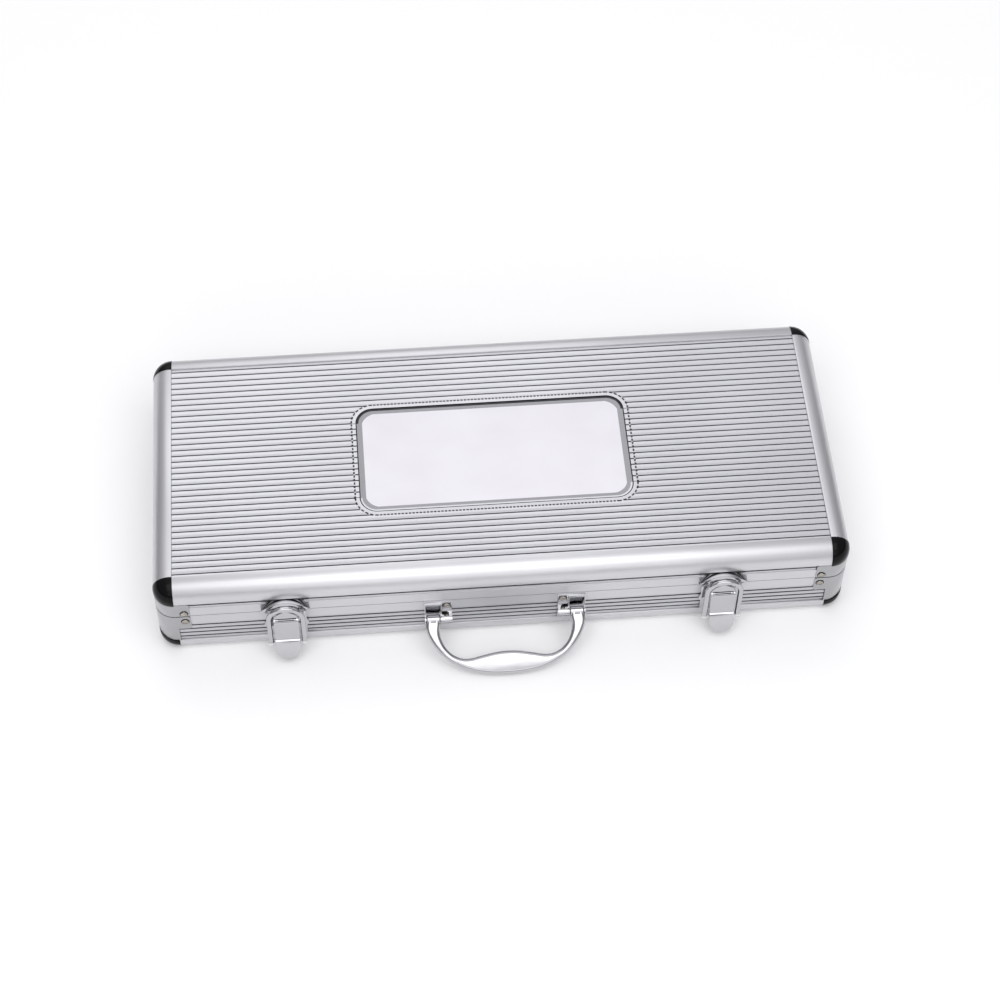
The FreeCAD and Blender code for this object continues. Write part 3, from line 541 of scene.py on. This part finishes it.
for part in away:
    for side, out in outward.items():
        node = f"{part}_panel_{side}"
        wall = copied(node)
        carry(wall, rib_silver, groove_shade)
        cuts = [height * mm + way * shade_half for height in groove_heights[part] for way in (-1, 1)]
        score(cuts + [slot_edge])
        # The bands round the grooves and the strip under the lid trims' lips get painted shade.
        pick("FACE", lambda face, middle: face.normal.dot(out) > 0.2 and (middle.z > slot_edge or any(
            abs(middle.z - height * mm) < shade_half for height in groove_heights[part])))
        paint(1)
        close()
        put_on(f"{part}_wall_{side}", [rib_silver, groove_shade], part, "ribbed_panel", node, smooth=20)

# Rims at the split ----------------------------------------------------------------------------
# Plain satin strips run round the opening of lid and base. The lid's has a tongue that drops inside
# the base's, and they keep the frame's shape.


def refinish(node, finish):
    """Gives a finish to a CAD node that is shown as it is."""
    shown = frame["nodes"][node]
    shown.data.materials.clear()
    shown.data.materials.append(finish)


for part in away:
    for side in outward:
        refinish(f"{part}_rim_{side}", satin_along[side])

# Corner plates --------------------------------------------------------------------------------
# Thin bright-plated steel, wrapped round each corner of lid and base and held by a rivet on each arm.
# Their edges are left as the press cut them, only rumbled smooth; the edges facing up and down are painted
# shade, the dark gap at the split.
plate_round = 0.14 * mm
chrome = new_finish("bright_chrome", (0.54, 0.54, 0.555), 1.0, 0.07)
chrome_haze = grain(chrome, (45, 45, 45))
vary(chrome, "Roughness", chrome_haze, 0.045, 0.12)
dent(chrome, grain(chrome, (160, 160, 160), detail=1), 0.012 * mm, 0.35)
plate_chrome = new_finish("plated_sheet", (0.42, 0.42, 0.43), 1.0, 0.18)
vary(plate_chrome, "Roughness", grain(plate_chrome, (55, 55, 55)), 0.13, 0.24)
dent(plate_chrome, grain(plate_chrome, (220, 220, 220), detail=2), 0.02 * mm, 0.4)

for part in away:
    plates = copied(f"{part}_corner_plates")
    carry(plates, plate_chrome, groove_shade)
    # Painted shade on the edges that face up and down.
    pick("FACE", lambda face, middle: abs(face.normal.z) > 0.7)
    paint(1)
    close()
    soften(plate_round, above=50)
    put_on(f"{part}_corner_wraps", [plate_chrome], part, "chrome_sheet", f"{part}_corner_plates")

# Rivets ---------------------------------------------------------------------------------------
# Nickel-plated tubular rivets with low domed heads, one turned head copied to every place.
# Each shows a dimple in its middle where the setting tool pressed it.
rivet_radius = 2.45 * mm
rivet_ring = 0.45 * mm        # a ring of painted shade round the head
ring_rise = 0.12 * mm
rivet_rise = 0.72 * mm
rivet_sides = 28
head_round = 0.62 * rivet_rise
head_steps = ((0.45, 0.12), (0.55, 0.05), (0.2, -0.12))   # insets and rises in mm, last the dimple
wall_reach = corner_y + 5 * mm    # rivets beyond this are in the front and back walls
nickel = new_finish("rivet_nickel", (0.44, 0.41, 0.36), 1.0, 0.2)
vary(nickel, "Base Color", grain(nickel, (350, 350, 350)), (0.32, 0.29, 0.25), (0.52, 0.49, 0.45))
vary(nickel, "Roughness", grain(nickel, (800, 800, 800)), 0.14, 0.3)
dent(nickel, grain(nickel, (1200, 1200, 1200)), 0.01 * mm, 0.4)


def loose_boxes(node):
    """The (low, high) corners of each separate solid in a CAD node."""
    mesh = bmesh.new()
    mesh.from_mesh(frame["nodes"][node].data)
    bmesh.ops.remove_doubles(mesh, verts=mesh.verts, dist=merge_gap)
    boxes, left = [], set(mesh.verts)
    while left:
        found = [left.pop()]
        for vert in found:
            near = [edge.other_vert(vert) for edge in vert.link_edges]
            fresh = [other for other in near if other in left]
            left.difference_update(fresh)
            found.extend(fresh)
        boxes.append([Vector([pick_end(vert.co[axis] for vert in found) for axis in range(3)])
                      for pick_end in (min, max)])
    mesh.free()
    return sorted(boxes, key=lambda box: tuple(round(value, 5) for value in (*box[0], *box[1])))


bpy.ops.object.select_all(action="DESELECT")
bpy.ops.mesh.primitive_cylinder_add(vertices=rivet_sides, radius=rivet_radius + rivet_ring,
                                    depth=2 * ring_rise)
rivet_head = bpy.context.object
carry(rivet_head, nickel, groove_shade)
bpy.ops.object.mode_set(mode="EDIT")
bpy.ops.mesh.select_all(action="SELECT")
# All but the raised head gets painted shade, the ring round it; the head is then given back its nickel.
paint(1)
pick("FACE", lambda face, middle: face.normal.z > 0.99)
bpy.ops.mesh.inset(thickness=rivet_ring)
extrude((0, 0, rivet_rise - ring_rise))
pick("FACE", lambda face, middle: middle.z > ring_rise * 1.01)
paint(0)
pick("EDGE", lambda edge, middle: all(vert.co.z > rivet_rise * 0.9 for vert in edge.verts))
bpy.ops.mesh.bevel(offset=head_round, segments=4, affect="EDGES", profile=0.55)
pick("FACE", lambda face, middle: face.normal.z > 0.99 and middle.z > 0)
for thickness, rise in head_steps:
    bpy.ops.mesh.inset(thickness=thickness * mm, depth=rise * mm)
close()
for part in away:
    heads = []
    for low, high in loose_boxes(f"{part}_rivets"):
        middle = (low + high) / 2
        if low.y < -wall_reach:
            side = "front"
        elif high.y > wall_reach:
            side = "back"
        else:
            side = "left" if low.x < 0 else "right"
        out = outward[side]
        head = rivet_head.copy()
        head.data = rivet_head.data.copy()
        bpy.context.scene.collection.objects.link(head)
        face = max(out.dot(low), out.dot(high)) - rivet_rise
        head.location = middle - out * out.dot(middle) + out * face
        head.rotation_euler = out.to_track_quat("Z", "Y").to_euler()
        heads.append(head)
    join(heads)
    bpy.ops.object.transform_apply()
    put_on(f"{part}_rivet_heads", [nickel], part, "rivet_nickel", f"{part}_rivets")
bpy.data.objects.remove(rivet_head)

# Latch plates, keepers and levers -------------------------------------------------------------
# Pressed and bright-plated steel. The plate is riveted to the base and carries the lever's axle; the
# keeper on the lid has a boss under an arched hood; the lever is folded from one blank.
fold_height = 20.2 * mm      # where the finger tab is folded out
fold_step = 0.75 * mm
fitting_round = 0.24 * mm
for hand in ("left", "right"):
    for node, name, body in ((f"latch_plate_{hand}", "latch_back_plate", "base"),
                             (f"latch_keeper_{hand}", "latch_hook", "lid"),
                             (f"latch_lever_{hand}", "latch_handle", f"latch_lever_{hand}")):
        copied(node)
        if name == "latch_handle":
            score((fold_height, fold_height - fold_step))
            pick("VERT", lambda vert, middle: middle.z < fold_height - fold_step / 2)
            bpy.ops.transform.translate(value=(0, -fold_step, 0))
        close()
        soften(fitting_round, steps=3, above=24)
        put_on(f"{name}_{hand}", [chrome], body, "chrome_fitting", node, smooth=40)
for node in ("latch_axles", "handle_pins"):
    refinish(node, chrome)

# Latch loops ----------------------------------------------------------------------------------
# A stout bow of flattened bar, bent over the keeper's boss and plated. Its two feet have stubs that
# turn in the lever's flanges.
bar_width = 3.45 * mm
bar_gauge = 2.7 * mm
bar_round = 0.75 * mm
foot_radius = 0.62 * bar_gauge
stub_radius = 1.2 * mm
stub_length = 2.4 * mm
stub_round = 0.3 * mm
inward = 0.55                # faces turned in by this much get painted shade, the bow's own shade
pivot_height = next(j for j in frame["joints"] if j["name"] == "latch_loop_left")["pos_m"][2]

for hand in ("left", "right"):
    node = f"latch_loop_{hand}"
    low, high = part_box(node)
    mid_x = (low.x + high.x) / 2
    mid_y = low.y + bar_gauge / 2
    bow = (high.x - low.x) / 2 - bar_width / 2
    centre = Vector((mid_x, mid_y, high.z - bow - bar_width / 2))
    bpy.ops.object.select_all(action="DESELECT")
    bpy.ops.mesh.primitive_plane_add(size=1, location=centre + Vector((bow, 0, 0)))
    bpy.context.object.scale = (bar_width, bar_gauge, 1)
    bpy.ops.object.transform_apply()
    loop = bpy.context.object
    carry(loop, chrome, groove_shade)
    bpy.ops.object.mode_set(mode="EDIT")
    bpy.ops.mesh.select_all(action="SELECT")
    bpy.ops.mesh.bevel(offset=bar_round, segments=4, affect="VERTICES")
    bpy.ops.mesh.select_all(action="SELECT")
    bpy.ops.mesh.spin(steps=40, angle=math.pi, center=centre, axis=(0, 1, 0))
    for way in (-1, 1):
        pick("FACE", lambda face, middle: len(face.verts) > 4 and way * (middle.x - mid_x) > 0
             and abs(middle.z - centre.z) < 0.1 * mm)
        extrude((0, 0, pivot_height - centre.z))
    bpy.ops.mesh.select_all(action="SELECT")
    bpy.ops.mesh.remove_doubles(threshold=merge_gap)
    bpy.ops.mesh.normals_make_consistent(inside=False)
    # The faces turned in get painted shade.
    pick("FACE", lambda face, middle: face.normal.dot(
        Vector((middle.x - mid_x, 0, max(middle.z - centre.z, 0))).normalized()) < -inward)
    paint(1)
    close()
    parts = [loop]
    for way in (-1, 1):
        foot_x = mid_x + way * bow
        for start, end, radius in (
                (foot_x - way * bar_width / 2, foot_x + way * bar_width / 2, foot_radius),
                (foot_x - way * (bar_width / 2 + stub_length), foot_x, stub_radius)):
            bpy.ops.object.select_all(action="DESELECT")
            bpy.ops.mesh.primitive_cylinder_add(
                vertices=32, radius=radius, depth=abs(end - start), rotation=(0, math.pi / 2, 0),
                location=((start + end) / 2, mid_y, pivot_height))
            bpy.ops.object.transform_apply()
            soften(stub_round, steps=3)
            parts.append(bpy.context.object)
    join(parts)
    put_on(f"latch_bow_{hand}", [chrome], node, "chrome_fitting", node, smooth=40)

# Handle ---------------------------------------------------------------------------------------
# A die-cast zinc bail, polished and chromed, waisted at two finger grooves, with every edge rolled.
# A round knuckle at the end of each leg turns on its pin.
handle_thickness = 7 * mm
handle_reach = 40.6 * mm
leg_inner = 45.1 * mm
leg_outer = 54.6 * mm
handle_roll = 2.9 * mm
knuckle_round = 0.9 * mm
bail_merge = 0.004 * mm
# The bail's edges from a leg to the middle: half widths and reaches from the axis, in mm
outer_edge = ((55.3, 3.5), (55.3, 7.5), (53.4, 13.5), (49.3, 20.5), (42.8, 27.8), (35.2, 33.0),
              (26.0, 37.1), (14.0, 39.8), (0.0, 40.6))
inner_edge = ((45.3, 3.5), (46.0, 9.0), (44.8, 15.0), (40.6, 22.3), (33.8, 27.2), (27.5, 28.4),
              (18.5, 26.9), (8.0, 25.0), (0.0, 24.5))
handle_joint = next(j for j in frame["joints"] if j["name"] == "handle_swing")
handle_axis = Vector(handle_joint["pos_m"])
handle_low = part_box("handle")[0]
half = handle_thickness / 2
drop = handle_axis.z - handle_low.z        # the bail tilts until its far end is this far down
handle_tilt = math.asin(drop / math.hypot(handle_reach, half)) - math.atan2(half, handle_reach)

outline = list(outer_edge) + [(-x, y) for x, y in reversed(outer_edge[:-1])]
outline = [(leg_outer / mm, 0.0)] + outline + [(-leg_outer / mm, 0.0), (-leg_inner / mm, 0.0)]
outline += [(-x, y) for x, y in inner_edge] + list(reversed(inner_edge[:-1]))
outline += [(leg_inner / mm, 0.0)]
bail = bpy.data.curves.new("handle_bail", "CURVE")
bail.dimensions = "2D"
bail.fill_mode = "BOTH"
bail.resolution_u = 12
bail.extrude = half - handle_roll
bail.bevel_depth = handle_roll
bail.bevel_resolution = 4
bail.offset = -handle_roll
edge = bail.splines.new("BEZIER")
edge.bezier_points.add(len(outline) - 1)
edge.use_cyclic_u = True
for point, (x, reach) in zip(edge.bezier_points, outline):
    point.co = (x * mm, -reach * mm, 0)
    at_leg_end = reach == 0
    point.handle_left_type = "VECTOR" if at_leg_end else "AUTO"
    point.handle_right_type = "VECTOR" if at_leg_end else "AUTO"
bpy.ops.object.select_all(action="DESELECT")
handle = bpy.data.objects.new("handle_bail", bail)
bpy.context.scene.collection.objects.link(handle)
handle.location = handle_axis
handle.rotation_euler = (handle_tilt, 0, 0)
handle.select_set(True)
bpy.context.view_layer.objects.active = handle
bpy.ops.object.convert(target="MESH")
bpy.ops.object.transform_apply()
handle = bpy.context.object
bpy.ops.object.mode_set(mode="EDIT")
bpy.ops.mesh.select_all(action="SELECT")
bpy.ops.mesh.remove_doubles(threshold=bail_merge)
bpy.ops.mesh.normals_make_consistent(inside=False)
close()
knuckles = [handle]
for way in (-1, 1):
    bpy.ops.object.select_all(action="DESELECT")
    bpy.ops.mesh.primitive_cylinder_add(
        vertices=48, radius=half, depth=leg_outer - leg_inner, rotation=(0, math.pi / 2, 0),
        location=handle_axis + Vector((way * (leg_inner + leg_outer) / 2, 0, 0)))
    bpy.ops.object.transform_apply()
    soften(knuckle_round, steps=4)
    knuckles.append(bpy.context.object)
join(knuckles)
put_on("handle_bail", [chrome], "handle", "chrome_fitting", "handle", smooth=40)

# Handle brackets ------------------------------------------------------------------------------
# Two pressed and plated brackets, riveted to the base. Each has a barrel inside the handle's leg, a
# cheek outside it and a low hood that stops the handle.
bracket_round = 0.2 * mm
for hand in ("left", "right"):
    node = f"handle_bracket_{hand}"
    copied(node)
    close()
    soften(bracket_round)
    put_on(f"handle_mount_{hand}", [chrome], "base", "chrome_fitting", node)

# Hinge ----------------------------------------------------------------------------------------
# A piano hinge of nickel-plated steel strip runs along the back, its knuckles rolled alternately from
# the two leaves round one drawn pin.
leaf_round = 0.18 * mm
hinge_steel = new_finish("hinge_steel", (0.62, 0.61, 0.60), 1.0, 0.28)
hinge_lines = grain(hinge_steel, (20, 2400, 2400))
vary(hinge_steel, "Base Color", grain(hinge_steel, (60, 60, 60)), (0.54, 0.53, 0.52), (0.68, 0.67, 0.66))
vary(hinge_steel, "Roughness", hinge_lines, 0.22, 0.4)
dent(hinge_steel, hinge_lines, 0.01 * mm, 0.5)
for node, name, body in (("hinge_base_leaf", "hinge_lower_leaf", "base"),
                         ("hinge_lid_leaf", "hinge_upper_leaf", "lid")):
    copied(node)
    close()
    soften(leaf_round, above=45)
    put_on(name, [hinge_steel], body, "hinge_steel", node)
refinish("hinge_pin", hinge_steel)

# Trays ----------------------------------------------------------------------------------------
# Vacuum-formed polystyrene, flocked black: two trays of four chip rows each and a middle tray with
# two card wells and a dice slot. Forming leaves every brim and corner soft.
brim_round = 0.7 * mm
flock = new_finish("black_flock", (0.014, 0.014, 0.016), 0.0, 0.95)
flock.node_tree.nodes["Principled BSDF"].inputs["Sheen Weight"].default_value = 0.35
flock.node_tree.nodes["Principled BSDF"].inputs["Sheen Roughness"].default_value = 0.4
flock_fuzz = grain(flock, (3200, 3200, 3200), detail=5)
vary(flock, "Base Color", grain(flock, (90, 90, 90)), (0.008, 0.008, 0.010), (0.024, 0.024, 0.027))
vary(flock, "Roughness", flock_fuzz, 0.88, 1.0)
dent(flock, flock_fuzz, 0.12 * mm, 0.8)
for node in ("chip_tray_left", "centre_tray", "chip_tray_right"):
    copied(node)
    close()
    soften(brim_round, steps=3, above=35)
    put_on(f"{node}_flocked", [flock], "base", "flocked_tray", node)

# Linings --------------------------------------------------------------------------------------
# A pad of soft foam under black felt fills the lid and holds the chips down, its face crowned between
# rolled edges. A thin sheet of the same felt lies under the trays.
pad_roll = 2.2 * mm
pad_corner = 6 * mm
felt = new_finish("black_felt", (0.02, 0.02, 0.023), 0.0, 0.95)
felt.node_tree.nodes["Principled BSDF"].inputs["Sheen Weight"].default_value = 0.25
felt_fibre = grain(felt, (1400, 1400, 1400), detail=6)
vary(felt, "Base Color", felt_fibre, (0.012, 0.012, 0.014), (0.034, 0.034, 0.038))
dent(felt, felt_fibre, 0.2 * mm, 0.8)
pad_low, pad_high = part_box("lid_lining")
open_block(pad_low, pad_high)
pick_uprights()
bpy.ops.mesh.bevel(offset=pad_corner, segments=6, affect="EDGES")
pick("EDGE", lambda edge, middle: all(abs(v.co.z - pad_low.z) < fuzz for v in edge.verts))
bpy.ops.mesh.bevel(offset=pad_roll, segments=4, affect="EDGES")
close()
pad = put_on("lid_pad", [felt], "lid", "lining", "lid_lining", smooth=50)
refinish("base_lining", felt)

# Bottom board ---------------------------------------------------------------------------------
# Thin board with a pebbled black laminate, rebated into the lower extrusions' slots.
laminate = new_finish("pebbled_laminate", (0.03, 0.03, 0.033), 0.0, 0.5)
pebbles = grain(laminate, (1100, 1100, 1100), detail=2)
vary(laminate, "Base Color", grain(laminate, (200, 200, 200)), (0.022, 0.022, 0.025), (0.04, 0.04, 0.044))
vary(laminate, "Roughness", pebbles, 0.4, 0.6)
dent(laminate, pebbles, 0.15 * mm, 0.7)
refinish("base_bottom_panel", laminate)

# Studio ---------------------------------------------------------------------------------------
# A pale sweep of paper, one large softbox overhead with a weaker one behind and in front, and a
# bright room that darkens towards the floor and the sides.
view_azimuth = math.radians(-5.37)
view_elevation = math.radians(54.63)
view_roll = math.radians(0.98)
view_distance = 1.746
view_target = Vector((0.0059, 0.0071, 0.0))
view_lens = 86.08
floor_size = 14
cool = 1.02                  # the room is a little blue

paper = new_finish("pale_paper", (0.95, 0.95, 0.95), 0.0, 0.8)
paper_shader = paper.node_tree.nodes["Principled BSDF"].inputs
paper_shader["Emission Color"].default_value = (1, 1, 1, 1)
paper_shader["Emission Strength"].default_value = 0.04
dent(paper, grain(paper, (300, 300, 300)), 0.02 * mm, 0.3)
bpy.ops.object.select_all(action="DESELECT")
bpy.ops.mesh.primitive_plane_add(size=floor_size, location=(0, 0, 0))
floor = bpy.context.object
floor.name = "floor"
floor.data.materials.append(paper)


def softbox(name, place, aim, width, height, power):
    """A rectangular soft light at a place, turned to a point."""
    lamp = bpy.data.lights.new(name, "AREA")
    lamp.shape = "RECTANGLE"
    lamp.size = width
    lamp.size_y = height
    lamp.energy = power
    light = bpy.data.objects.new(name, lamp)
    bpy.context.scene.collection.objects.link(light)
    light.location = place
    light.rotation_euler = (Vector(aim) - Vector(place)).to_track_quat("-Z", "Y").to_euler()


softbox("overhead", (0.05, -0.98, 2.19), (0, 0, 0), 3.3, 1.84, 27)
softbox("back", (-0.25, 1.67, 1.72), (0, 0, 0), 1.7, 1.2, 5.6)
softbox("front", (0.1, -2.6, 1.25), (0, 0, 0), 3.4, 1.1, 8)

world = bpy.data.worlds.new("studio")
bpy.context.scene.world = world
world.use_nodes = True
nodes = world.node_tree.nodes
links = world.node_tree.links
room = nodes.new("ShaderNodeTexCoord")
direction = nodes.new("ShaderNodeSeparateXYZ")
sideways = nodes.new("ShaderNodeMath")
sideways.operation = "ABSOLUTE"
both = nodes.new("ShaderNodeMix")
both.data_type = "RGBA"
both.blend_type = "MULTIPLY"
both.inputs["Factor"].default_value = 1
links.new(room.outputs["Generated"], direction.inputs["Vector"])
links.new(direction.outputs["X"], sideways.inputs[0])
for source, target, levels in (
        (direction.outputs["Z"], both.inputs["A"],
         ((0.0, 0.02), (0.11, 0.02), (0.17, 0.72), (0.7, 0.78), (1.0, 1.0))),
        (sideways.outputs["Value"], both.inputs["B"],
         ((0.0, 1.0), (0.25, 1.0), (0.6, 0.6), (1.0, 0.45)))):
    shade = nodes.new("ShaderNodeValToRGB")
    for stop, (position, level) in enumerate(levels):
        if stop > 1:
            shade.color_ramp.elements.new(position)
        shade.color_ramp.elements[stop].position = position
        shade.color_ramp.elements[stop].color = (level, level, level * cool, 1)
    links.new(source, shade.inputs["Fac"])
    links.new(shade.outputs["Color"], target)
links.new(both.outputs["Result"], nodes["Background"].inputs["Color"])
nodes["Background"].inputs["Strength"].default_value = 1.0

back = Vector((math.sin(view_azimuth) * math.cos(view_elevation),
               -math.cos(view_azimuth) * math.cos(view_elevation), math.sin(view_elevation)))
across = Vector((0, 0, 1)).cross(back).normalized()
above = back.cross(across)
right = across * math.cos(view_roll) + above * math.sin(view_roll)
up = above * math.cos(view_roll) - across * math.sin(view_roll)
lens = bpy.data.cameras.new("camera")
lens.lens = view_lens
lens.sensor_width = 36
lens.clip_start = 0.05
camera = bpy.data.objects.new("camera", lens)
bpy.context.scene.collection.objects.link(camera)
place = view_target + back * view_distance
camera.matrix_world = Matrix.Translation(place) @ Matrix((right, up, back)).transposed().to_4x4()
bpy.context.scene.camera = camera
bpy.context.scene.view_settings.view_transform = "Standard"
